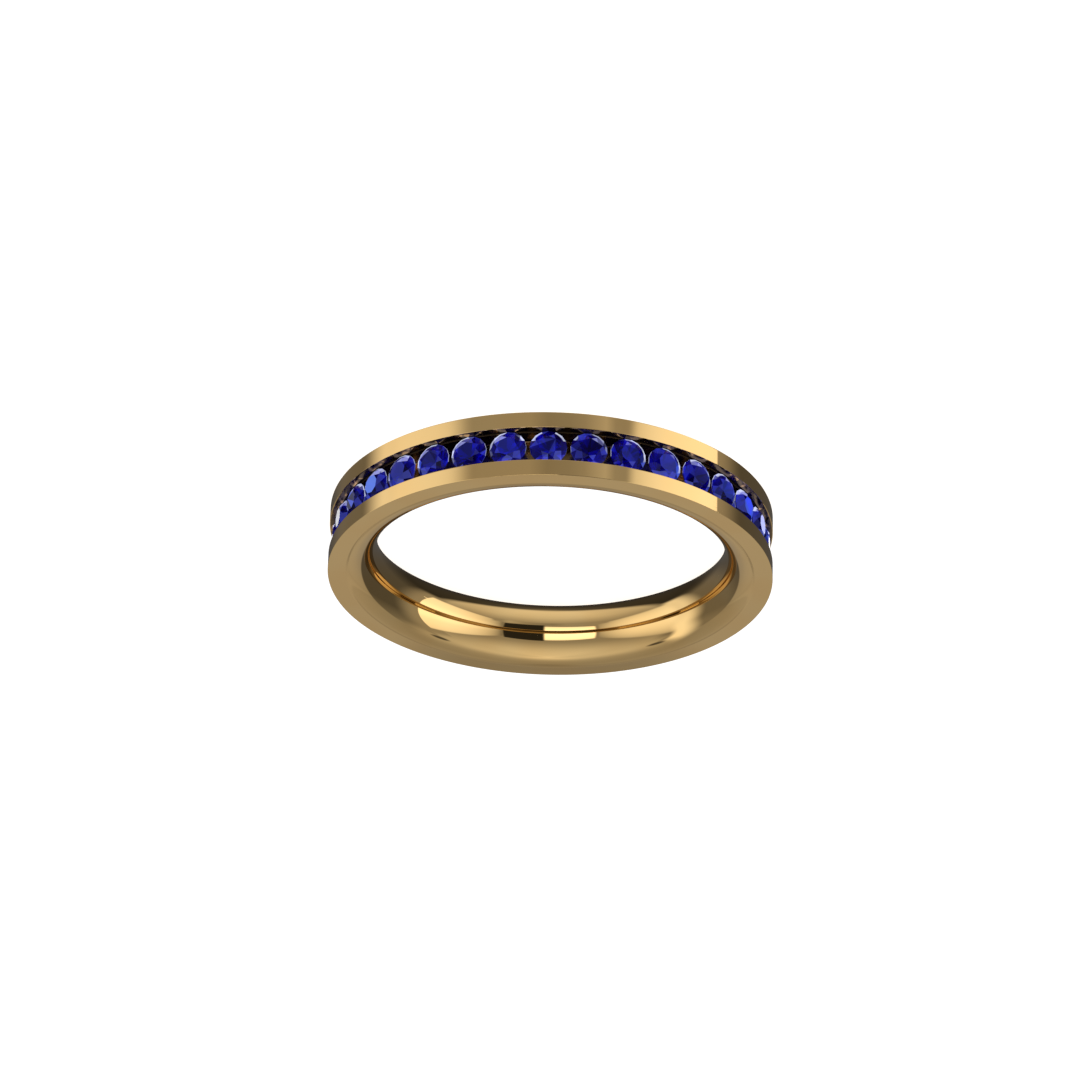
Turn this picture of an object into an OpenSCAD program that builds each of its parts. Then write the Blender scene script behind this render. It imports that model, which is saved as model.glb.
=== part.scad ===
// A full eternity ring: one solid gold band with a comfort-fit inside, and a channel cut round
// its outside that holds a single row of round brilliant-cut sapphires.
// The ring lies on its side: the finger axis is Z, and the lower side face is on the plane z = 0.

/* [Band] */
// Inside diameter at the crown of the domed inside, in mm
inner_d = 16.9; // [14:0.1:22]
// Width of the band along the finger, in mm
band_w = 3.32; // [2.8:0.01:4]
// Thickness of the band at the middle of its width, in mm
band_t = 2.35; // [2.2:0.01:2.8]
// Width of the flat side face, from the outside to the start of the domed inside, in mm
side_flat = 0.85; // [0.5:0.01:1]

/* [Channel] */
// Clear width of the channel between its two walls, in mm
channel_w = 1.73; // [1.68:0.01:1.76]
// Depth of the channel floor below the outside of the band, in mm
channel_depth = 1.35; // [1.32:0.01:1.5]
// Height of the small groove in each wall that takes the edge of the stones, in mm
seat_h = 0.2; // [0.16:0.01:0.3]

/* [Stones] */
// Number of stones in the full circle
stone_count = 34; // [30:1:34]
// Girdle diameter of a stone, in mm
stone_d = 1.76; // [1.74:0.01:1.8]
// Depth of the girdle below the outside of the band, in mm
girdle_depth = 0.46; // [0.4:0.01:0.5]
// Thickness of the girdle, in mm
girdle_t = 0.05; // [0.03:0.01:0.08]
// Width of the table across its corners, as a share of the stone's diameter
table_share = 0.53; // [0.5:0.01:0.6]
// Height of the crown, as a share of the stone's diameter
crown_share = 0.165; // [0.13:0.005:0.18]
// Depth of the pavilion, as a share of the stone's diameter
pavilion_share = 0.43; // [0.4:0.005:0.44]
// Reach of the star facets from the table to the girdle, as a share of that distance
star_share = 0.5; // [0.4:0.01:0.6]
// Reach of the lower half facets from the girdle to the culet, as a share of that distance
lower_share = 0.77; // [0.7:0.01:0.85]
// Gap between a stone's edge and the gold, in mm
stone_gap = 0.03; // [0.02:0.01:0.04]

/* [Hidden] */
stone_ids = [for (i = [1 : stone_count]) str("stone_", i < 10 ? "0" : "", i)];

inner_r = inner_d / 2;
outer_r = inner_r + band_t;
dome_rise = band_t - side_flat;
dome_edge_r = inner_r + dome_rise;
// Turn along the half ellipse of the domed inside between two points of the section, in degrees
dome_step = 6;
// How far a cut runs past the face that it opens
past = 1;
// Flat bottom of the seat groove, which lies opposite the girdle
seat_flat = girdle_t + 2 * stone_gap;
girdle_r = outer_r - girdle_depth;
stone_r = stone_d / 2;
seat_reach = stone_r + stone_gap;

// Facets of one kind in a round brilliant, and the turn from one to the next
mains = 8;
main_turn = 360 / mains;
half_turn = main_turn / 2;
table_r = stone_r * table_share;
crown_h = stone_d * crown_share;
pavilion_h = stone_d * pavilion_share;
star_r = table_r * cos(half_turn) + (stone_r - table_r * cos(half_turn)) * star_share;
lower_r = stone_r * (1 - lower_share);
// The star tips and lower half tips lie in the planes of the main facets
star_h = crown_h * (stone_r - star_r * cos(half_turn)) / (stone_r - table_r);
lower_h = pavilion_h * (stone_r - lower_r * cos(half_turn)) / stone_r;
// Each stone is turned a little further about its own axis than the last
clocking = 137.5;

band_colour = [0.83, 0.66, 0.38];
sapphire_colour = [0.08, 0.09, 0.45];

// A level ring of points: count of them, at radius r and height z, starting at the angle from
function ring_points(count, r, z, from = 0) =
    [for (i = [0 : count - 1]) let (a = from + i * 360 / count) [r * cos(a), r * sin(a), z]];

// The half ellipse of the comfort-fit inside, from one side face to the other
function dome_points() =
    [for (t = [-90 : dome_step : 90]) [dome_edge_r - dome_rise * cos(t), band_w / 2 * (1 + sin(t))]];

// Half of the band's section, cut by the plane through the finger axis
module band_section() {
    difference() {
        polygon(concat(dome_points(), [[outer_r, band_w], [outer_r, 0]]));
        translate([outer_r - channel_depth, (band_w - channel_w) / 2])
            square([channel_depth + past, channel_w]);
        seat_groove();
    }
}

// The grooves in both channel walls, which hold the stones' edges
module seat_groove() {
    translate([girdle_r, band_w / 2])
        polygon([[-seat_h / 2, -channel_w / 2], [-seat_flat / 2, -seat_reach], [seat_flat / 2, -seat_reach],
                 [seat_h / 2, -channel_w / 2], [seat_h / 2, channel_w / 2], [seat_flat / 2, seat_reach],
                 [-seat_flat / 2, seat_reach], [-seat_h / 2, channel_w / 2]]);
}

module band() {
    color(band_colour) rotate_extrude($fn = 180) band_section();
}

// A round brilliant with its girdle at z = 0, its table up and its culet down:
// table, stars, crown mains, upper halves, girdle, lower halves and pavilion mains
module brilliant() {
    girdle_n = 2 * mains;
    table_pts = ring_points(mains, table_r, girdle_t / 2 + crown_h);
    star_pts = ring_points(mains, star_r, girdle_t / 2 + star_h, half_turn);
    upper_pts = ring_points(girdle_n, stone_r, girdle_t / 2);
    under_pts = ring_points(girdle_n, stone_r, -girdle_t / 2);
    lower_pts = ring_points(mains, lower_r, -girdle_t / 2 - lower_h, half_turn);
    star = mains;
    upper = star + mains;
    under = upper + girdle_n;
    lower = under + girdle_n;
    culet = lower + mains;
    faces = concat(
        [[for (i = [mains - 1 : -1 : 0]) i]],
        [for (i = [0 : mains - 1]) [i, (i + 1) % mains, star + i]],
        [for (i = [0 : mains - 1]) [i, star + i, upper + 2 * i, star + (i + mains - 1) % mains]],
        [for (i = [0 : mains - 1]) [star + i, upper + 2 * i + 1, upper + 2 * i]],
        [for (i = [0 : mains - 1]) [star + i, upper + (2 * i + 2) % girdle_n, upper + 2 * i + 1]],
        [for (i = [0 : girdle_n - 1]) let (j = (i + 1) % girdle_n) [upper + i, upper + j, under + j, under + i]],
        [for (i = [0 : mains - 1]) [lower + i, under + 2 * i, under + 2 * i + 1]],
        [for (i = [0 : mains - 1]) [lower + i, under + 2 * i + 1, under + (2 * i + 2) % girdle_n]],
        [for (i = [0 : mains - 1]) [culet, lower + (i + mains - 1) % mains, under + 2 * i, lower + i]]
    );
    points = concat(table_pts, star_pts, upper_pts, under_pts, lower_pts, [[0, 0, -girdle_t / 2 - pavilion_h]]);
    polyhedron(points, faces);
}

// Stone i of the row, counted from the front, with its table facing out of the band
module stone(i) {
    color(sapphire_colour)
        translate([0, 0, band_w / 2])
            rotate([0, 0, -90 + i * 360 / stone_count])
                translate([girdle_r, 0, 0])
                    rotate([0, 90, 0])
                        rotate([0, 0, i * clocking])
                            brilliant();
}

band();
for (i = [0 : stone_count - 1]) {
    stone(i);
}
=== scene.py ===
"""A channel-set eternity ring, lying on its side: a polished gold band and a full row of sapphires.

The band is drawn here as half of its section and swept round the finger axis, so that its edges are
softly rounded and its curves are smooth; its channel has painted shade. The stones are the model's own,
cut flat facet by flat facet, with a sapphire finish whose inner blue light, glints and bright crown
edges are painted as emission. The lights are a photographer's room of soft panels, which the gold
and the stones mirror.
"""
import math

import bpy
from mathutils import Matrix, Vector


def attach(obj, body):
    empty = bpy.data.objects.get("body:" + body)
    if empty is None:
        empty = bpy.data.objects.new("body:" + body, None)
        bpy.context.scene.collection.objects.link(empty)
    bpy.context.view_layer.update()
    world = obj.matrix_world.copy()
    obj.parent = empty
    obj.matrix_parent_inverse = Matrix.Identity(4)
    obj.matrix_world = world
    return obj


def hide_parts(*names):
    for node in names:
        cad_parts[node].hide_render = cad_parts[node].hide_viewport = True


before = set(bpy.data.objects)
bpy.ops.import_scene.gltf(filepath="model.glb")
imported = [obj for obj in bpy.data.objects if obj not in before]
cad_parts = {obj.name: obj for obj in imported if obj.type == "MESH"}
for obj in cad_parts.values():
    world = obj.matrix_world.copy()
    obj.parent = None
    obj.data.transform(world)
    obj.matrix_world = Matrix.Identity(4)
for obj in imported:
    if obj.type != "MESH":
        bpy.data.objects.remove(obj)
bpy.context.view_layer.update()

MM = 0.001
DEGREES = 180 / math.pi

# Sizes of the band in millimetres; the finger axis is Z and the lower side face is at z = 0
OUTER_R = 10.8
INNER_R = 8.45
BAND_W = 3.32
SIDE_FLAT = 0.85
CHANNEL_W = 1.73
CHANNEL_DEPTH = 1.35
GIRDLE_DEPTH = 0.46
SEAT_H = 0.2
SEAT_FLAT = 0.11
SEAT_REACH = 0.91
MIDDLE = BAND_W / 2
GIRDLE_R = OUTER_R - GIRDLE_DEPTH
DOME_EDGE_R = OUTER_R - SIDE_FLAT
DOME_RISE = DOME_EDGE_R - INNER_R
LIP = CHANNEL_W / 2
STONE_R = 0.88

# How the band's edges are finished, in millimetres
OUTER_ROUNDING = 0.004
LIP_ROUNDING = 0.006
FLOOR_ROUNDING = 0.08
FLAT_MARGIN = 0.02
CREASE_MARGIN = 0.004
ROUNDING_STEPS = 4
DOME_STEPS = 48
STEPS_ROUND = 720
SHARPEST_SMOOTH_EDGE = math.radians(30)

# The row of stones
STONE_COUNT = 34
STONE_NAMES = [f"stone_{number:02d}" for number in range(1, STONE_COUNT + 1)]

# The camera: its place as turns and a distance from the middle of the ring in millimetres, and its lens
CAMERA_TURN = math.radians(-91.3)
CAMERA_RISE = 0.4721
CAMERA_DISTANCE = 238.6
CAMERA_LENS = 163.3
CAMERA_ROLL = 0.0257
SENSOR_WIDTH = 36
NEAREST_SEEN = 0.01
PICTURE_SIDE = 1080
RING_CENTRE_PIXEL = (550.83, 548.35)

# Three directions: level towards the camera, level to the right of its picture, and up
NEAR = Vector((math.cos(CAMERA_TURN), math.sin(CAMERA_TURN), 0))
RIGHT = Vector((NEAR.y, -NEAR.x, 0))
UP = Vector((0, 0, 1))

WHITE = (1, 1, 1)


# ---- Node trees ----

class Value:
    """One socket of a node tree. Sums written with it add the Math nodes that work them out."""

    def __init__(self, recipe, socket):
        self.recipe = recipe
        self.socket = socket

    def output(self, key):
        """Another output of the same node."""
        return Value(self.recipe, self.socket.node.outputs[key])

    def math(self, operation, *others):
        """A sum that takes this number first."""
        return self.recipe.math(operation, self, *others)

    def vector_math(self, operation, *others):
        """A sum that takes this vector first."""
        given = dict(enumerate((self, *others)))
        return self.recipe.node("ShaderNodeVectorMath", {"operation": operation}, given)

    def reach(self, way):
        """How far this vector goes in a direction."""
        return self.vector_math("DOT_PRODUCT", way).output("Value")

    def length(self):
        return self.vector_math("LENGTH").output("Value")

    def __add__(self, other):
        return self.math("ADD", other)

    def __radd__(self, other):
        return self.recipe.math("ADD", other, self)

    def __sub__(self, other):
        return self.math("SUBTRACT", other)

    def __rsub__(self, other):
        return self.recipe.math("SUBTRACT", other, self)

    def __mul__(self, other):
        return self.math("MULTIPLY", other)

    def __rmul__(self, other):
        return self.recipe.math("MULTIPLY", other, self)

    def __truediv__(self, other):
        return self.math("DIVIDE", other)

    def __rpow__(self, other):
        return self.recipe.math("POWER", other, self)

    def __gt__(self, other):
        return self.math("GREATER_THAN", other)

    def __lt__(self, other):
        return self.math("LESS_THAN", other)

    def __neg__(self):
        return 0 - self

    def __abs__(self):
        return self.math("ABSOLUTE")


class Recipe:
    """A node tree, with one way of adding a node to it."""

    def __init__(self, tree):
        self.tree = tree
        tree.nodes.clear()

    def node(self, kind, settings=None, sockets=None):
        """Adds a node, makes its settings first, then gives its sockets their values or links."""
        new = self.tree.nodes.new(kind)
        for name, setting in (settings or {}).items():
            if name == "stops":
                fill_ramp(new.color_ramp, setting)
            else:
                setattr(new, name, setting)
        for key, given in (sockets or {}).items():
            if isinstance(given, Value):
                self.tree.links.new(given.socket, new.inputs[key])
            else:
                new.inputs[key].default_value = given
        return Value(self, new.outputs[0]) if new.outputs else new

    def math(self, operation, *given):
        return self.node("ShaderNodeMath", {"operation": operation}, dict(enumerate(given)))


def fill_ramp(ramp, stops):
    """Sets a ramp's stops, each a place from 0 to 1 and a grey."""
    while len(ramp.elements) < len(stops):
        ramp.elements.new(1)
    for element, (place, grey) in zip(ramp.elements, stops):
        element.position = place
        element.color = (grey, grey, grey, 1)


def grey_from(table, value, width):
    """The grey that a table gives for a value, over a range of the given width with 0 in its middle."""
    stops = [(place / width + 0.5, grey) for place, grey in table]
    return value.recipe.node("ShaderNodeValToRGB", {"stops": stops}, {"Fac": value / width + 0.5})


def eased(value, low, high, out_low=0.0, out_high=1.0):
    """Goes smoothly from one value to another while the given value goes from low to high."""
    return value.recipe.node(
        "ShaderNodeMapRange",
        {"interpolation_type": "SMOOTHSTEP"},
        {"Value": value, "From Min": low, "From Max": high, "To Min": out_low, "To Max": out_high},
    )


def between(value, low, high, soft):
    """1 inside a range of the value and 0 outside it, with edges of the given softness."""
    return eased(value, low - soft, low + soft) * (1 - eased(value, high - soft, high + soft))


def opaque(colour):
    """A plain colour with its fourth number. A colour from a socket stays as it is."""
    return (*colour, 1) if isinstance(colour, tuple) else colour


def mixed(share, first, second):
    """A colour between two colours."""
    return share.recipe.node(
        "ShaderNodeMix", {"data_type": "RGBA"}, {0: share, 6: opaque(first), 7: opaque(second)}
    ).output(2)


def blended(share, first, second):
    """A number between two numbers."""
    return first + (second - first) * share


def noise(vector, scale, detail=2.0, roughness=0.5):
    """Soft random patches over the given coordinates, from 0 to 1."""
    return vector.recipe.node(
        "ShaderNodeTexNoise", {"noise_dimensions": "3D"},
        {"Vector": vector, "Scale": scale, "Detail": detail, "Roughness": roughness},
    )


def vector_of(recipe, x, y, z):
    return recipe.node("ShaderNodeCombineXYZ", None, {"X": x, "Y": y, "Z": z})


def ring_place(recipe):
    """Where a point is on the ring: its place in millimetres, its turn round the finger, and then its
    distance from the finger axis and its height, in millimetres too."""
    place = recipe.node("ShaderNodeTexCoord").output("Object")
    in_mm = recipe.node("ShaderNodeVectorMath", {"operation": "SCALE"}, {0: place, "Scale": 1 / MM})
    x = recipe.node("ShaderNodeSeparateXYZ", None, {0: in_mm})
    y, z = x.output("Y"), x.output("Z")
    radius = vector_of(recipe, x, y, 0.0).length()
    turn = y.math("ARCTAN2", x)
    return in_mm, turn, radius, z


def new_finish(name):
    """A new material and the recipe of its nodes."""
    material = bpy.data.materials.new(name)
    material.use_nodes = True
    return material, Recipe(material.node_tree)


def put_in_scene(name, data):
    """A new object with the given mesh or camera, in the scene."""
    added = bpy.data.objects.new(name, data)
    bpy.context.scene.collection.objects.link(added)
    return added


# ---- Gold ----

GOLD = (0.98, 0.667, 0.284)
GOLD_WARM = (0.97, 0.64, 0.26)
WARM_PATCHES = (0.35, 0.65)
# Painted shade: the darker gold of the channel and of its walls, and the share of it that covers the gold
GOLD_PAINTED_SHADE = (0.16, 0.095, 0.045)
WALL_PAINTED_SHADE = (0.085, 0.046, 0.02)
CHANNEL_PAINTED_SHADE = 0.9
# Patches of lighter painted shade in the channel, and the noise values at which they show
GOLD_LIGHTER_SHADE = (0.80, 0.45, 0.15)
LIGHTER_SHADE_PATCHES = (0.58, 0.66)
# Near-black painted shade in the seat grooves behind the stones
SEAT_PAINTED_SHADE = (0.035, 0.022, 0.012)

# Where parts of the band begin and end for their finish and painted shade: radii, and heights off the
# middle
CHANNEL_RADIUS = OUTER_R - CHANNEL_DEPTH - 0.1
CHANNEL_HEIGHT = SEAT_REACH + 0.02
SHADE_RADII = (OUTER_R - 0.06, OUTER_R - 0.006)
WALL_HEIGHTS = (LIP - 0.06, LIP - 0.02)
SEAT_HEIGHT = LIP + 0.003
SEAT_RADIUS = GIRDLE_R + 0.15
SOFT_EDGE_RADII = (DOME_EDGE_R - 0.14, DOME_EDGE_R, 0.08)

# How dull the polish is, and how much duller each part of the band is
POLISH_ROUGHNESS = 0.015
LINE_ROUGHNESS = 0.02
LINE_RANGE = (0.4, 0.7)
CHANNEL_ROUGHNESS = 0.16
SEAT_ROUGHNESS = 0.3
EDGE_ROUGHNESS = 0.04

# How close the gold's unevenness and the patches of lighter painted shade lie, to a radian round the finger
# or to a millimetre
LINES_ROUND = 3.0
LINES_PER_MM = 9.0
LINE_DETAIL = 3.0
LINE_CONTRAST = 0.6
FINE_LINES = 4.0
SWELLS_PER_MM = 0.35
LIGHTER_SHADE_PER_MM = 2.2
MILLING_PER_MM = 2.6

# How much each kind of unevenness stands out, and how high the whole relief is in millimetres
LINE_RELIEF = 0.25
FINE_LINE_RELIEF = 0.2
SWELL_RELIEF = 0.6
MILLING_RELIEF = 110.0
RELIEF_STRENGTH = 0.35
RELIEF_HEIGHT = 0.0004


def polished_gold():
    """Yellow gold with a mirror polish: fine lines round the band, softer edges, and a rougher channel with
    painted shade in it.
    """
    material, recipe = new_finish("polished_gold")
    in_mm, turn, radius, height = ring_place(recipe)

    # Lines left by the polishing wheel, which run round the finger
    along = vector_of(recipe, turn * LINES_ROUND, radius * LINES_PER_MM, height * LINES_PER_MM)
    lines = noise(along, 1.0, LINE_DETAIL, LINE_CONTRAST)
    fine_lines = noise(along, FINE_LINES, 2.0, LINE_CONTRAST)
    # Slow swells of a surface polished by hand
    swell = noise(in_mm, SWELLS_PER_MM, 1.0)

    # The channel, how deep a point lies in it, the seat grooves behind its walls, and the walls
    off_middle = abs(height - MIDDLE)
    in_channel = (off_middle < CHANNEL_HEIGHT) * (radius > CHANNEL_RADIUS)
    depth = in_channel * (1 - eased(radius, *SHADE_RADII))
    seat = in_channel * (off_middle > SEAT_HEIGHT) * (radius < SEAT_RADIUS)
    wall = eased(off_middle, *WALL_HEIGHTS)

    tone = mixed(eased(swell, *WARM_PATCHES), GOLD, GOLD_WARM)
    # Painted shade: the channel's gold is darker the deeper it lies, and darker still on its walls
    painted_shade = mixed(wall, GOLD_PAINTED_SHADE, WALL_PAINTED_SHADE)
    tone = mixed(depth * CHANNEL_PAINTED_SHADE, tone, painted_shade)
    # Random patches in the channel where the painted shade is lighter, so that the gold mirrors a little
    # light between the stones
    lighter_shade = eased(noise(in_mm, LIGHTER_SHADE_PER_MM, 1.0), *LIGHTER_SHADE_PATCHES)
    tone = mixed(depth * lighter_shade, tone, GOLD_LIGHTER_SHADE)
    # Near-black painted shade in the seat grooves
    tone = mixed(seat, tone, SEAT_PAINTED_SHADE)

    # The flat side face runs into the domed inside with a softly polished edge
    edge = between(radius, *SOFT_EDGE_RADII) * (1 - in_channel)
    roughness = POLISH_ROUGHNESS + eased(lines, *LINE_RANGE, 0.0, LINE_ROUGHNESS)
    roughness = roughness + depth * CHANNEL_ROUGHNESS + seat * SEAT_ROUGHNESS + edge * EDGE_ROUGHNESS

    # The milled walls of the channel are less even, which breaks up what they mirror
    milled = noise(in_mm, MILLING_PER_MM, 2.0) * depth * wall
    relief = lines * LINE_RELIEF + fine_lines * FINE_LINE_RELIEF
    relief = relief + swell * SWELL_RELIEF + milled * MILLING_RELIEF
    bump = recipe.node("ShaderNodeBump", None, {
        "Strength": RELIEF_STRENGTH, "Distance": RELIEF_HEIGHT * MM, "Height": relief,
    })
    surface = recipe.node("ShaderNodeBsdfPrincipled", None, {
        "Base Color": tone, "Metallic": 1.0, "Roughness": roughness, "IOR": 1.5, "Normal": bump,
    })
    recipe.node("ShaderNodeOutputMaterial", None, {"Surface": surface})
    return material


# ---- Sapphire ----

SAPPHIRE_DEEP = (0.06, 0.07, 0.36)
SAPPHIRE_BRIGHT = (0.6, 0.7, 0.95)
SAPPHIRE_BODY = (0.03, 0.04, 0.83)
# How strongly a millimetre of the body colours the light
SAPPHIRE_DENSITY = 5.0
REFRACTION = 1.77

# Growth bands: the direction that they are stacked in, how close they lie and how clear they are
GROWTH_WAY = (0.6, 0.5, 0.62)
BANDS_PER_MM = 3.0
BAND_CONTRAST = (0.3, 0.7)
# What makes a facet pale or deep, 1 in all: the growth bands and the stone's own tone, which are colour,
# and the facet itself, which paints the light and shade that a facet catches
BAND_SHARE = 0.25
STONE_SHARE = 0.25
FACET_PAINTED_SHARE = 0.5
# Facets whose directions differ by less than this count as one
FACET_STEP = 0.13
# The stones stand half a step off the X axis. This shift makes their numbers whole and positive
NUMBER_SHIFT = 100.5

# How far outward the crown's facets and the table look, where 1 is straight away from the finger
CROWN_OUTWARD = 0.45
TABLE_OUTWARD = 0.97

# Painted light: blue emission that stands in for the light inside a stone, and the chance values at which a
# facet or a whole stone shows it
PAINTED_GLOW_DEEP = (0.001, 0.0, 0.012)
PAINTED_GLOW_BRIGHT = (0.022, 0.028, 0.21)
PAINTED_GLOW_CHANCE = (0.5, 0.9)
PAINTED_TABLE_GLOW = (0.010, 0.012, 0.12)
PAINTED_TABLE_CHANCE = (0.2, 1.0)
# Painted reflections: two stones whose tables glow a lighter blue, by their number counted round the finger
PAINTED_LIT_TABLES = {86: (0.04, 0.075, 0.88), 97: (0.12, 0.21, 0.74)}

# Painted highlights, as emission, in the facets that look sideways, down and up: their colour, the facets'
# directions and chances
PAINTED_SIDE_GLOW = (0.045, 0.09, 0.55)
SIDE_LOOK = (0.74, 0.94)
SIDE_CHANCE = (0.4, 0.8)
PAINTED_GLINT = (0.30, 0.32, 0.60)
DOWN_LOOK = (0.26, 0.40)
DOWN_AND_SIDE_LOOK = (0.18, 0.34)
GLINT_CHANCE = (0.35, 0.85)
PAINTED_FOOT_GLOW = (0.05, 0.06, 0.26)
FOOT_LOOK = (0.30, 0.45)
FOOT_CHANCE = (0.5, 0.8)

# The painted highlight along the thin edge of the crown, as a share of the stone's radius, wider on the end
# stones
PAINTED_RIM_HIGHLIGHT = (0.75, 0.80, 0.95)
RIM_FROM = 0.82
RIM_SOFT = 0.08
RIM_RADIUS = GIRDLE_R - 0.03
RIM_LEAST = 0.4
END_LOOK = (0.84, 0.97)
END_WIDER = 0.10
ASIDE_LOOK = (0.70, 0.85)
ASIDE_UP_LOOK = (-0.1, 0.3)


def cut_sapphire():
    """Blue sapphire: clear, strongly refracting and deeper blue the longer the way through it. Its inner
    blue light, glints and bright crown edges are painted as emission, by which way a facet looks.
    """
    material, recipe = new_finish("cut_sapphire")
    in_mm, turn, radius, height = ring_place(recipe)

    # The number of the stone that a point belongs to, and a chance value for each
    number = (turn * (STONE_COUNT / math.tau) + NUMBER_SHIFT).math("ROUND")
    stone_chance = recipe.node("ShaderNodeTexWhiteNoise", {"noise_dimensions": "1D"}, {"W": number})
    # Growth bands, straight through the rough that each stone was cut from
    stacked = in_mm.reach(GROWTH_WAY)
    bands = noise(vector_of(recipe, stacked * BANDS_PER_MM, number, 0.0), 1.0)
    # Which way a facet looks, and a chance value for each facet
    facing = recipe.node("ShaderNodeNewGeometry").output("True Normal")
    parts = recipe.node("ShaderNodeSeparateXYZ", None, {0: facing})
    sideways, upwards = abs(parts), parts.output("Z")
    outward = parts * turn.math("COSINE") + parts.output("Y") * turn.math("SINE")
    same_facet = facing.vector_math("SNAP", (FACET_STEP, FACET_STEP, FACET_STEP))
    chance = recipe.node(
        "ShaderNodeTexWhiteNoise", {"noise_dimensions": "4D"}, {"Vector": same_facet, "W": number}
    )
    # How far a point is from the middle of its own stone, as a share of the stone's radius
    own_turn = turn - (number - NUMBER_SHIFT) * (math.tau / STONE_COUNT)
    beside = radius * own_turn.math("SINE")
    off_centre = vector_of(recipe, beside, height - MIDDLE, 0.0).length() / STONE_R

    # The growth bands and the stone give colour; each facet's chance paints light and shade on it
    share = eased(bands, *BAND_CONTRAST, 0.0, BAND_SHARE) + stone_chance * STONE_SHARE
    share = share + chance * FACET_PAINTED_SHARE
    tone = mixed(share, SAPPHIRE_DEEP, SAPPHIRE_BRIGHT)

    # Painted light: blue emission that stands in for light spread inside the stone, and in the tables
    glow = mixed(eased(chance, *PAINTED_GLOW_CHANCE), PAINTED_GLOW_DEEP, PAINTED_GLOW_BRIGHT)
    table = outward > TABLE_OUTWARD
    glow = mixed(table * eased(stone_chance, *PAINTED_TABLE_CHANCE), glow, PAINTED_TABLE_GLOW)
    for lit, blue in PAINTED_LIT_TABLES.items():
        glow = mixed(table * (abs(number - lit) < 0.5), glow, blue)
    # Painted highlights, as emission, in the crown's facets that look to the side, down to the white paper,
    # and up
    crown = outward > CROWN_OUTWARD
    side = crown * eased(sideways, *SIDE_LOOK) * eased(chance, *SIDE_CHANCE)
    glow = mixed(side, glow, PAINTED_SIDE_GLOW)
    downside = eased(-upwards, *DOWN_LOOK) * eased(sideways, *DOWN_AND_SIDE_LOOK)
    glow = mixed(crown * downside * eased(chance, *GLINT_CHANCE), glow, PAINTED_GLINT)
    foot = crown * eased(upwards, *FOOT_LOOK) * eased(chance, *FOOT_CHANCE)
    glow = mixed(foot, glow, PAINTED_FOOT_GLOW)
    # A painted highlight along the thin edge of the crown where it looks down and to the side
    end_stone = eased(sideways, *END_LOOK)
    rim = eased(off_centre + end_stone * END_WIDER, RIM_FROM, RIM_FROM + RIM_SOFT)
    rim = (radius > RIM_RADIUS) * rim
    aside = eased(sideways, *ASIDE_LOOK) * eased(upwards, *ASIDE_UP_LOOK, 1.0, 0.0)
    bright = downside.math("MAXIMUM", aside)
    rim_highlight_strength = blended(end_stone, RIM_LEAST + stone_chance * (1 - RIM_LEAST), 1.0)
    glow = mixed(rim * bright * rim_highlight_strength, glow, PAINTED_RIM_HIGHLIGHT)

    surface = recipe.node("ShaderNodeBsdfPrincipled", None, {
        "Base Color": tone, "Roughness": 0.0, "IOR": REFRACTION, "Transmission Weight": 1.0,
        "Emission Color": glow, "Emission Strength": 1.0,
    })
    body = recipe.node("ShaderNodeVolumeAbsorption", None, {
        "Color": opaque(SAPPHIRE_BODY), "Density": SAPPHIRE_DENSITY / MM,
    })
    recipe.node("ShaderNodeOutputMaterial", None, {"Surface": surface, "Volume": body})
    return material


# ---- The band ----

def rounded(before, corner, after, radius):
    """The points that round a corner of the section, with one more on each side to keep the flats flat."""
    start = (before - corner).normalized()
    end = (after - corner).normalized()
    half = start.angle(end) / 2
    reach = radius / math.tan(half)
    centre = corner + (start + end).normalized() * (radius / math.sin(half))
    first = corner + start * reach - centre
    last = corner + end * reach - centre
    steps = [step / ROUNDING_STEPS for step in range(ROUNDING_STEPS + 1)]
    arc = [centre + first.slerp(last, step) * radius for step in steps]
    return [corner + start * (reach + FLAT_MARGIN), *arc, corner + end * (reach + FLAT_MARGIN)]


def dome_points():
    """The half ellipse of the comfort-fit inside, from the lower side face to the upper one."""
    turns = [math.pi * (step / DOME_STEPS - 0.5) for step in range(DOME_STEPS + 1)]
    return [Vector((DOME_EDGE_R - DOME_RISE * math.cos(t), MIDDLE * (1 + math.sin(t)))) for t in turns]


def band_section():
    """The outline of half of the band's section, as points: distance from the finger axis and height."""
    upper = [
        (Vector((OUTER_R, BAND_W)), OUTER_ROUNDING),
        (Vector((OUTER_R, MIDDLE + LIP)), LIP_ROUNDING),
        (Vector((GIRDLE_R + SEAT_H / 2, MIDDLE + LIP)), 0),
        (Vector((GIRDLE_R + SEAT_FLAT / 2, MIDDLE + SEAT_REACH)), 0),
        (Vector((GIRDLE_R - SEAT_FLAT / 2, MIDDLE + SEAT_REACH)), 0),
        (Vector((GIRDLE_R - SEAT_H / 2, MIDDLE + LIP)), 0),
        (Vector((OUTER_R - CHANNEL_DEPTH, MIDDLE + LIP)), FLOOR_ROUNDING),
    ]
    lower = [(Vector((point.x, BAND_W - point.y)), radius) for point, radius in reversed(upper)]
    dome = dome_points()
    corners = upper + lower
    places = [dome[-1], *[point for point, _ in corners], dome[0]]
    start = dome[0] + (dome[1] - dome[0]).normalized() * CREASE_MARGIN
    end = dome[-1] + (dome[-2] - dome[-1]).normalized() * CREASE_MARGIN
    section = [dome[0], start, *dome[1:-1], end, dome[-1], dome[-1] + Vector((CREASE_MARGIN, 0))]
    for index, (point, radius) in enumerate(corners, 1):
        section += rounded(places[index - 1], point, places[index + 1], radius) if radius else [point]
    section.append(dome[0] + Vector((CREASE_MARGIN, 0)))
    return section


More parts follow.
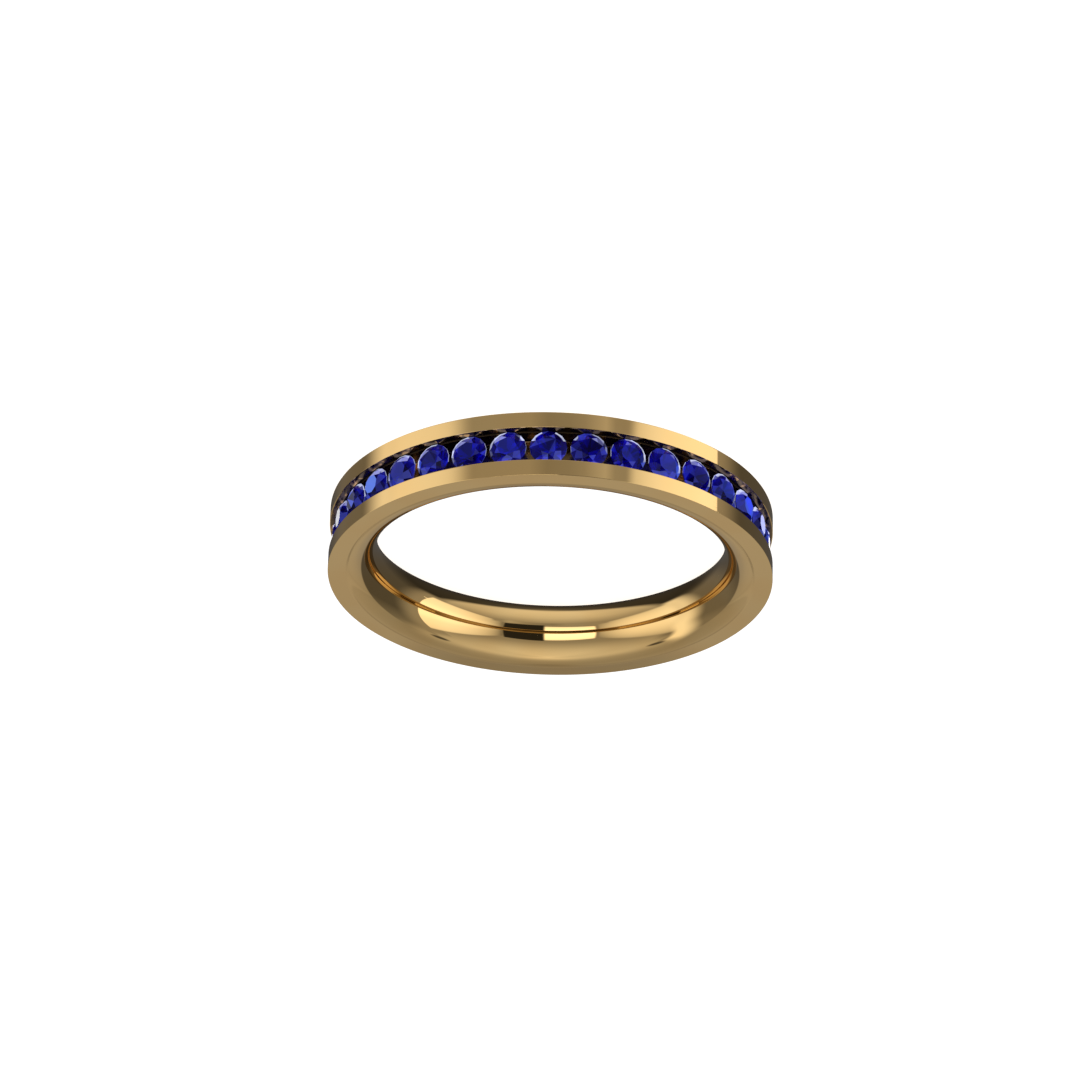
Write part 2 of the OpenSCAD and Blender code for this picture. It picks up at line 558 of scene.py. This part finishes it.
def sweep_tree():
    """Geometry nodes that sweep a flat section round the finger axis."""
    tree = bpy.data.node_groups.new("sweep_round_finger", "GeometryNodeTree")
    recipe = Recipe(tree)
    for name, kind in (
        ("Section", "Geometry"),
        ("Steps round", "Int"),
        ("Circle radius", "Float"),
        ("Sharpest smooth edge", "Float"),
        ("Gold", "Material"),
    ):
        tree.interface.new_socket(name, in_out="INPUT", socket_type=f"NodeSocket{kind}")
    tree.interface.new_socket("Band", in_out="OUTPUT", socket_type="NodeSocketGeometry")
    given = recipe.node("NodeGroupInput")
    outline = recipe.node("GeometryNodeMeshToCurve", None, {"Mesh": given.output("Section")})
    circle = recipe.node("GeometryNodeCurvePrimitiveCircle", {"mode": "RADIUS"}, {
        "Resolution": given.output("Steps round"), "Radius": given.output("Circle radius"),
    })
    swept = recipe.node("GeometryNodeCurveToMesh", None, {"Curve": circle, "Profile Curve": outline})
    smooth = recipe.node("GeometryNodeSetShadeSmooth", {"domain": "FACE"}, {0: swept, "Shade Smooth": True})
    angle = recipe.node("GeometryNodeInputMeshEdgeAngle")
    creased = recipe.node("GeometryNodeSetShadeSmooth", {"domain": "EDGE"}, {
        0: smooth, "Selection": angle > given.output("Sharpest smooth edge"), "Shade Smooth": False,
    })
    real = recipe.node("GeometryNodeRealizeInstances", None, {0: creased})
    gilded = recipe.node("GeometryNodeSetMaterial", None, {0: real, "Material": given.output("Gold")})
    recipe.node("NodeGroupOutput", None, {"Band": gilded})
    return tree


def section_outline(points, circle_radius):
    """The section as a closed loop of edges in the XY plane, measured from the circle of the sweep."""
    mesh = bpy.data.meshes.new("band_section")
    places = [((point.x - circle_radius) * MM, (MIDDLE - point.y) * MM, 0) for point in points]
    loop = [(index, (index + 1) % len(places)) for index in range(len(places))]
    mesh.from_pydata(places, loop, [])
    return mesh


def set_inputs(modifier, **values):
    """Sets a modifier's named inputs by their sockets' identifiers."""
    for item in modifier.node_group.interface.items_tree:
        key = item.name.replace(" ", "_").lower()
        if item.in_out == "INPUT" and key in values:
            modifier[item.identifier] = values[key]


def gold_band(gold):
    """The whole band: its section swept round, then kept as a plain mesh."""
    circle_radius = (OUTER_R + INNER_R) / 2
    source = put_in_scene("band_source", section_outline(band_section(), circle_radius))
    modifier = source.modifiers.new("sweep", "NODES")
    modifier.node_group = sweep_tree()
    set_inputs(
        modifier, steps_round=STEPS_ROUND, circle_radius=circle_radius * MM,
        sharpest_smooth_edge=SHARPEST_SMOOTH_EDGE, gold=gold,
    )
    evaluated = source.evaluated_get(bpy.context.evaluated_depsgraph_get())
    mesh = bpy.data.meshes.new_from_object(evaluated)
    bpy.data.objects.remove(source)
    mesh.name = "gold_band"
    mesh.transform(Matrix.Translation((0, 0, MIDDLE * MM)))
    band = put_in_scene("gold_band", mesh)
    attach(band, "root")
    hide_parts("band")


def set_stones(sapphire):
    """Gives every stone of the row the sapphire finish."""
    for name in STONE_NAMES:
        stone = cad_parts[name]
        for place in stone.material_slots:
            place.material = sapphire


# ---- The room ----

# Greys by degrees above the horizon. The near half of the room has a lit floor that ends under the
# ring, and a ceiling. The far half is dark below, and the same ceiling falls off further away
NEAR_HALF = (
    (-90, 0.44), (-82, 0.72), (-74, 0.74), (-62, 0.69), (-50, 0.60), (-38, 0.43), (-28, 0.30), (0, 0.26),
    (28, 0.27), (34, 0.30), (46, 0.43), (58, 0.56), (70, 0.65), (82, 0.70), (90, 0.80),
)
FAR_HALF = (
    (-90, 0.20), (-82, 0.08), (-68, 0.045), (-44, 0.03), (-28, 0.08), (-12, 0.08), (24, 0.08), (40, 0.16),
    (50, 0.28), (62, 0.31), (70, 0.36), (75, 0.44), (79, 0.56), (84, 0.72), (90, 0.82),
)
# Where the halves meet: below by how far a look goes to the front, above by degrees off the far side
HALVES_BELOW = (-0.05, 0.13)
HALVES_ABOVE = (30, 92)
CEILING_FROM = (40, 56)
# A faint light on the far left, and how the near half dims towards its sides
FAR_LEFT_TURNS = (-150, -90, 14)
FAR_LEFT_HEIGHTS = (-34, 40, 6)
FAR_LEFT_LIGHT = 0.07
NEAR_SIDES = (30, 70)
NEAR_SIDES_DIM = 0.11

# The screen behind the ring: its greys by height, and how they fall off sideways, less further up
SCREEN = (
    (-6, 0.265), (0, 0.275), (5, 0.30), (14, 0.335), (18, 0.36), (24, 0.375), (25.4, 0.37), (26.1, 0.355),
    (27, 0.385), (28.1, 0.388), (28.8, 0.345), (31, 0.34), (36, 0.315), (40, 0.30), (50, 0.29),
)
SCREEN_FALL = (28, 38, 0.00016, 0.00004)
SCREEN_BOTTOM = (-14, -8)
SCREEN_TOP = (46, 54)
# How the screen narrows: degrees down to one degree sideways, and how far down its sides would meet
SCREEN_SLOPE = 1.16
SCREEN_MEETS = 15.5
SCREEN_SIDE = (-2.0, 2.0)
# The dimmer strip down the screen's middle, with a gap in it, and a small dark patch in the gap
MIDDLE_STRIP = (0, 3)
MIDDLE_GAP = (24.3, 28.4, 0.5)
MIDDLE_DIM = 0.22
DARK_PATCH = (0, 25.55, 2.6, 0.75)
DARK_PATCH_GREY = 0.245

# Two stands. Patches are given by the middle's degrees round and up, and half of their width and height
LARGE_STAND = (109, 57.5, 10.0, 4.6)
LARGE_STAND_GREY = 0.08
SMALL_STAND = (102, 51.0, 5.0, 5.0)
SMALL_STAND_GREY = 0.20
SMALL_STAND_SHARE = 0.5
PATCH_SOFT = (0.1, 1.0)

# Panels are given by their left, right, lower and upper edge, sideways or up over the way out, and
# their softness. The right panel's far end has a small tab
RIGHT_PANEL = (-0.5, 1.73, -0.75, 0.88, 0.05)
RIGHT_LEAN = 0.06
RIGHT_END = (-0.03, -0.01)
RIGHT_TAB_HEIGHTS = (-28.35, -27.42, 0.06)
RIGHT_TAB_REACH = 0.06
RIGHT_LIGHT = 1.28
RIGHT_FALL_ALONG = 0.36
RIGHT_FALL_UP = 0.34
RIGHT_MIDDLE = (0.2, 0.42, 1.12, 1.0)
# The dim strip beyond the right panel's end
RIGHT_STRIP_FROM = 80
RIGHT_STRIP_TO = (94, 116)
RIGHT_STRIP_HEIGHTS = (-42, 50, 4)
RIGHT_STRIP_GREY = 0.29

LEFT_PANEL = (-0.10, 1.58, -0.68, 0.82, 0.08)
LEFT_LEAN = 0.055
LEFT_LIGHT = (0.5, 2.0, 1.07, 0.3)
LEFT_MIDDLE = 0.06
LEFT_FALL_UP = 0.72
# The bright strip beyond the left panel: where it stands, how it leans, and its two sides
LEFT_STRIP_TURN = 97
LEFT_STRIP_LEANS = (24, 62)
LEFT_STRIP_LEAN = 22
LEFT_STRIP_OUTER = -19
LEFT_STRIP_WIDENS = -16
LEFT_STRIP_INNER = (4, 13)
LEFT_STRIP_HEIGHTS = (-38, 53, 4)
LEFT_STRIP_LIGHT = (-10, 34, 0.85, 1.04)

# The near wall: a bright window beside a black one, and greys below them by degrees to the right
WINDOW = (-0.58, 0.052, -0.34, 0.47, 0.025)
WINDOW_LIGHT = 1.75
WINDOW_MIDDLE = 0.08
WINDOW_FALL = 3.0
BLACK_WINDOW = (0.052, 0.56, -0.44, 0.535, 0.02)
BLACK_WINDOW_GREY = 0.02
BELOW_WINDOWS = (
    (-42, 0.30), (-12, 0.31), (-3, 0.235), (8, 0.25), (16, 0.29), (22, 0.37), (27, 0.43), (32, 0.30),
    (37, 0.29), (40, 0.31),
)
BELOW_WINDOWS_HEIGHTS = (-31, -23, 3)
BELOW_WINDOWS_TURNS = (-40, 38, 2)

# What the gold mirrors a second time, and what the stones show of the room and of the paper
SECOND_MIRROR = 0.5
STONE_ROOM = 0.9
STONE_WHITE = 0.05
STONE_SHEEN = 0.08
PAPER_SHEEN = 2.0
PAPER_SHEEN_BEHIND = (0.5, 0.9)
PAPER_SHEEN_HEIGHTS = (-45, -23, 2)
# The plain white that the camera sees, and the one that lights the paper
PAPER_WHITE = 1.1
PAPER_LIGHT = 0.4


class Look:
    """A look out of the ring into the room: how far it goes to the front, to the right and up, and its
    degrees above the horizon, to the right of the camera's side and away from the far side."""

    def __init__(self, recipe):
        way = recipe.node("ShaderNodeTexCoord").output("Generated")
        self.front = way.reach(NEAR)
        self.side = way.reach(RIGHT)
        self.up = way.reach(UP)
        self.height = self.up.math("ARCSINE") * DEGREES
        self.across = self.side.math("ARCTAN2", self.front) * DEGREES
        self.away = 180 - abs(self.across)


def panel(along, out, up, left, right, bottom, top, soft):
    """A panel on a wall, by its edges as seen from the ring: sideways and up, over the way out. Gives
    its outline, and how far sideways and up on it a look goes."""
    side = along / out
    rise = up / out
    return between(side, left, right, soft) * between(rise, bottom, top, soft) * (out > 0.0), side, rise


def patch(turned, raised, middle_turn, middle_rise, half_turn, half_rise):
    """1 at the middle of a soft oval patch of the room and 0 outside it, all in degrees."""
    turned = (turned - middle_turn) / half_turn
    raised = (raised - middle_rise) / half_rise
    return 1 - eased(turned * turned + raised * raised, *PATCH_SOFT)


def hang(light, outline, strength):
    """Puts a panel or a dark screen in front of what the room shows there."""
    return blended(outline, light, strength)


def bare_room(look):
    """The floor, walls and ceiling of the room: its near half and its far half."""
    near_half = grey_from(NEAR_HALF, look.height, 180)
    far_half = grey_from(FAR_HALF, look.height, 180)
    far_left = between(look.across, *FAR_LEFT_TURNS) * between(look.height, *FAR_LEFT_HEIGHTS)
    far_half = far_half + far_left * FAR_LEFT_LIGHT
    near_half = near_half * (1 - eased(abs(look.across), *NEAR_SIDES) * NEAR_SIDES_DIM)
    below = eased(look.front, *HALVES_BELOW)
    above = eased(look.away, *HALVES_ABOVE)
    return blended(blended(eased(look.height, *CEILING_FROM), below, above), far_half, near_half)


def with_screen(light, look):
    """The pale screen behind the ring, which narrows downwards, with a dimmer strip down its middle."""
    height, away = look.height, look.away
    screen = grey_from(SCREEN, height, 180)
    screen = screen * (1 - away * away * eased(height, *SCREEN_FALL))
    strip = (1 - eased(away, *MIDDLE_STRIP)) * (1 - between(height, *MIDDLE_GAP))
    screen = screen * (1 - strip * MIDDLE_DIM)
    screen = blended(patch(away, height, *DARK_PATCH), screen, DARK_PATCH_GREY)
    narrowing = eased(height - away * SCREEN_SLOPE + SCREEN_MEETS, *SCREEN_SIDE)
    outline = narrowing * eased(height, *SCREEN_BOTTOM) * (1 - eased(height, *SCREEN_TOP))
    return hang(light, outline, screen)


def with_stands(light, look):
    """Two small dark stands in each of the ceiling's corners."""
    either_side = abs(look.across)
    light = hang(light, patch(either_side, look.height, *LARGE_STAND), LARGE_STAND_GREY)
    small = patch(either_side, look.height, *SMALL_STAND) * SMALL_STAND_SHARE
    return hang(light, small, SMALL_STAND_GREY)


def with_right_wall(light, look):
    """The wall on the right: a dim strip, and before it a long panel that is brightest at its far end."""
    strip = (1 - eased(look.across, *RIGHT_STRIP_TO)) * (look.across > RIGHT_STRIP_FROM)
    light = hang(light, strip * between(look.height, *RIGHT_STRIP_HEIGHTS), RIGHT_STRIP_GREY)
    leaning = look.up + look.front * RIGHT_LEAN
    outline, along, rise = panel(look.front, look.side, leaning, *RIGHT_PANEL)
    tab = between(look.height, *RIGHT_TAB_HEIGHTS) * RIGHT_TAB_REACH
    glow = (RIGHT_LIGHT - along * along * RIGHT_FALL_ALONG) * (1 - rise * rise * RIGHT_FALL_UP)
    glow = glow * eased(abs(rise), *RIGHT_MIDDLE)
    return hang(light, outline * eased(along + tab, *RIGHT_END), glow)


def with_left_wall(light, look):
    """The wall on the left: a panel with soft ends, and a bright strip that leans out at its top."""
    leaning = look.up + look.front * LEFT_LEAN
    outline, along, rise = panel(look.front, -look.side, leaning, *LEFT_PANEL)
    rise = rise + LEFT_MIDDLE - along * LEFT_LEAN
    light = hang(light, outline, eased(along, *LEFT_LIGHT) * (1 - rise * rise * LEFT_FALL_UP))
    lean = eased(look.height, *LEFT_STRIP_LEANS)
    middle = look.across + LEFT_STRIP_TURN + lean * LEFT_STRIP_LEAN
    strip = eased(middle, lean * LEFT_STRIP_WIDENS + LEFT_STRIP_OUTER, 1)
    strip = strip * (1 - eased(middle, *LEFT_STRIP_INNER)) * between(look.height, *LEFT_STRIP_HEIGHTS)
    return hang(light, strip, eased(look.height, *LEFT_STRIP_LIGHT))


def with_near_wall(light, look):
    """The near wall: a bright window beside a black one, and what stands below them."""
    below = grey_from(BELOW_WINDOWS, look.across, 100)
    outline = between(look.height, *BELOW_WINDOWS_HEIGHTS) * between(look.across, *BELOW_WINDOWS_TURNS)
    light = hang(light, outline, below)
    outline, _, rise = panel(look.side, look.front, look.up, *WINDOW)
    rise = rise - WINDOW_MIDDLE
    light = hang(light, outline, WINDOW_LIGHT - rise * rise * WINDOW_FALL)
    outline, _, _ = panel(look.side, look.front, look.up, *BLACK_WINDOW)
    return hang(light, outline, BLACK_WINDOW_GREY)


def studio_room():
    """A plain room of soft panels for the gold and the stones to mirror, and plain white for the camera."""
    world = bpy.data.worlds.new("studio_room")
    world.use_nodes = True
    recipe = Recipe(world.node_tree)
    look = Look(recipe)
    light = bare_room(look)
    for furnished in (with_screen, with_stands, with_right_wall, with_left_wall, with_near_wall):
        light = furnished(light, look)

    # What the gold mirrors a second time is dimmer; what is seen through a stone is paler and more even
    path = recipe.node("ShaderNodeLightPath")
    through = path.output("Transmission Depth") > 0.5
    again = (path.output("Glossy Depth") - 1).math("MAXIMUM", 0.0) * (1 - through)
    light = light * SECOND_MIRROR ** again
    # The facets mirror a dimmed room, and the white paper behind where they are seen edge-on
    edge_on = eased(-look.front, *PAPER_SHEEN_BEHIND) * between(look.height, *PAPER_SHEEN_HEIGHTS)
    sheen = light * STONE_SHEEN + edge_on * PAPER_SHEEN
    light = blended(path.output("Is Singular Ray") * (1 - through), light, sheen)
    light = blended(through, light, light * STONE_ROOM + STONE_WHITE)
    room = recipe.node("ShaderNodeBackground", None, {"Color": opaque(WHITE), "Strength": light})
    # The camera and the paper see plain white all round instead of the room
    on_paper = path.output("Is Diffuse Ray")
    white = blended(on_paper, PAPER_WHITE, PAPER_LIGHT)
    plain = recipe.node("ShaderNodeBackground", None, {"Color": opaque(WHITE), "Strength": white})
    sees_plain = path.output("Is Camera Ray").math("MAXIMUM", on_paper)
    shown = recipe.node("ShaderNodeMixShader", None, {0: sees_plain, 1: room, 2: plain})
    recipe.node("ShaderNodeOutputWorld", None, {"Surface": shown})
    world.cycles.sampling_method = "NONE"
    bpy.context.scene.world = world


# ---- The floor and the camera ----

PAPER_TONES = ((0.90, 0.90, 0.90), (0.93, 0.93, 0.93))
MOTTLE_SCALE = 60.0
MOTTLE_DETAIL = 3.0
PAPER_ROUGHNESS = 0.9
PAPER_GLOW = 0.85
# Half of the floor's side, and how far it lies below the ring, in millimetres
FLOOR_HALF = 900
FLOOR_BELOW = 0.005


def pale_floor_finish():
    """Plain near-white paper with a very faint mottle, lit from below as on a light table."""
    material, recipe = new_finish("pale_paper")
    place = recipe.node("ShaderNodeTexCoord").output("Object")
    tone = mixed(noise(place, MOTTLE_SCALE, MOTTLE_DETAIL), *PAPER_TONES)
    surface = recipe.node("ShaderNodeBsdfPrincipled", None, {
        "Base Color": tone, "Roughness": PAPER_ROUGHNESS, "Specular IOR Level": 0.0,
        "Emission Color": opaque(WHITE), "Emission Strength": PAPER_GLOW,
    })
    recipe.node("ShaderNodeOutputMaterial", None, {"Surface": surface})
    return material


def pale_floor(finish):
    """The plain floor that the ring lies on. The gold and the stones mirror the room instead of it."""
    half = FLOOR_HALF * MM
    below = -FLOOR_BELOW * MM
    corners = [(-half, -half, below), (half, -half, below), (half, half, below), (-half, half, below)]
    mesh = bpy.data.meshes.new("pale_floor")
    mesh.from_pydata(corners, [], [(0, 1, 2, 3)])
    mesh.materials.append(finish)
    floor = put_in_scene("pale_floor", mesh)
    floor.visible_glossy = False
    floor.visible_transmission = False


def photo_camera():
    """The camera at the photograph's angle, turned nearly half round about its own line of sight."""
    back = NEAR * math.cos(CAMERA_RISE) + UP * math.sin(CAMERA_RISE)
    top = NEAR * math.sin(CAMERA_RISE) - UP * math.cos(CAMERA_RISE)
    across = RIGHT * math.cos(CAMERA_ROLL) + top * math.sin(CAMERA_ROLL)
    upward = top * math.cos(CAMERA_ROLL) - RIGHT * math.sin(CAMERA_ROLL)
    data = bpy.data.cameras.new("photo_camera")
    data.sensor_width = SENSOR_WIDTH
    data.lens = CAMERA_LENS
    data.shift_x = (PICTURE_SIDE / 2 - RING_CENTRE_PIXEL[0]) / PICTURE_SIDE
    data.shift_y = (RING_CENTRE_PIXEL[1] - PICTURE_SIDE / 2) / PICTURE_SIDE
    data.clip_start = NEAREST_SEEN
    camera = put_in_scene("photo_camera", data)
    place = back * CAMERA_DISTANCE * MM + UP * MIDDLE * MM
    turn = Matrix((across, upward, back)).transposed()
    camera.matrix_world = Matrix.Translation(place) @ turn.to_4x4()
    bpy.context.scene.camera = camera


photo_camera()
studio_room()
bpy.context.scene.view_settings.view_transform = "Standard"
gold_band(polished_gold())
set_stones(cut_sapphire())
pale_floor(pale_floor_finish())
